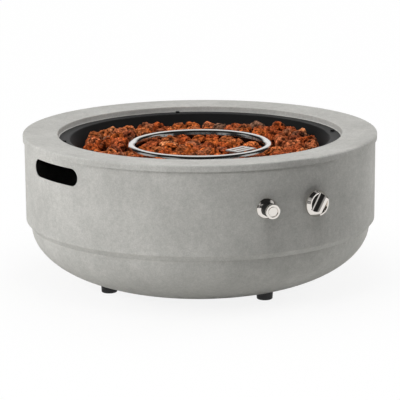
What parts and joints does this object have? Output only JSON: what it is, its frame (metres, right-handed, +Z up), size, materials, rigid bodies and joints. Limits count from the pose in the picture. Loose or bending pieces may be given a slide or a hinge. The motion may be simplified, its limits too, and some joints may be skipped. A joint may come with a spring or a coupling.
{
  "type": "propane fire bowl",
  "caption": "Round low propane fire bowl with a flat rim, curved base on feet, a pan of lava rock round a ring burner, hand slots, a push-and-turn valve knob and a push igniter.",
  "frame": {"origin": "on the floor under the middle of the bowl", "axes": "+Z up, -Y towards the control knob at the front, +X to the right of a person facing it"},
  "size_m": [0.7109, 0.7651, 0.3019],
  "materials": {
    "concrete_finish": "fine textured concrete-look coat on steel sheet",
    "black_enamel": "satin heat-proof black",
    "black_foot": "matte moulded",
    "lava_rock": "porous red-brown scoria",
    "polished_steel": "polished",
    "stainless_steel": "satin",
    "zinc_steel": "zinc plated",
    "cast_alloy": "as cast and drawn",
    "brass": "turned",
    "chrome": "bright plated",
    "black_plastic": "moulded",
    "black_rubber": "extruded",
    "ceramic": "unglazed alumina"
  },
  "bodies": {
    "bowl": {"top_ring": "concrete_finish", "body_band": "concrete_finish", "lower_dish": "concrete_finish", "fire_pan": "black_enamel", "pan_screws": "black_enamel", "foot_front": "black_foot", "foot_right": "black_foot", "foot_back": "black_foot", "foot_left": "black_foot", "lava_rock_bed": "lava_rock", "lava_rocks": "lava_rock", "burner_ring": "polished_steel", "burner_feed": "stainless_steel", "burner_legs": "stainless_steel", "burner_inlet": "stainless_steel", "sensor_cover": "stainless_steel", "sensor_bracket": "stainless_steel", "electrode_rod": "stainless_steel", "thermocouple": "stainless_steel", "ring_nuts": "zinc_steel", "flange_bolts": "zinc_steel", "flange_nuts": "zinc_steel", "foot_screws": "zinc_steel", "pan_nuts": "zinc_steel", "burner_locknuts": "zinc_steel", "valve_nut": "zinc_steel", "inlet_nut": "zinc_steel", "sensor_screws": "zinc_steel", "gas_valve": "cast_alloy", "air_mixer": "cast_alloy", "gas_outlet_pipe": "cast_alloy", "gas_supply_pipe": "cast_alloy", "orifice_fitting": "brass", "gas_inlet": "brass", "thermocouple_lead": "brass", "knob_bezel": "chrome", "igniter_collar": "chrome", "igniter_module": "black_plastic", "igniter_nut": "black_plastic", "igniter_battery": "black_plastic", "saddle_washer": "black_rubber", "ignition_lead": "black_rubber", "electrode_insulator": "ceramic"},
    "push_rod": {"valve_push_rod": "stainless_steel"},
    "knob": {"control_knob": "chrome", "valve_stem": "stainless_steel"},
    "ignite_button": {"igniter_button": "chrome", "button_sleeve": "black_plastic"}
  },
  "joints": [
    {"name": "knob_push", "type": "slide", "parent": "bowl", "child": "push_rod", "axis": [0, 1, 0], "range_m": [0, 0.003], "stiffness_N_per_m": 2000},
    {"name": "knob_turn", "type": "hinge", "parent": "push_rod", "child": "knob", "pos_m": [0, -0.3523, 0.215], "axis": [0, -1, 0], "range_deg": [0, 180]},
    {"name": "ignite_push", "type": "slide", "parent": "bowl", "child": "ignite_button", "axis": [0.284, 0.9588, 0], "range_m": [0, 0.003], "stiffness_N_per_m": 1500}
  ]
}
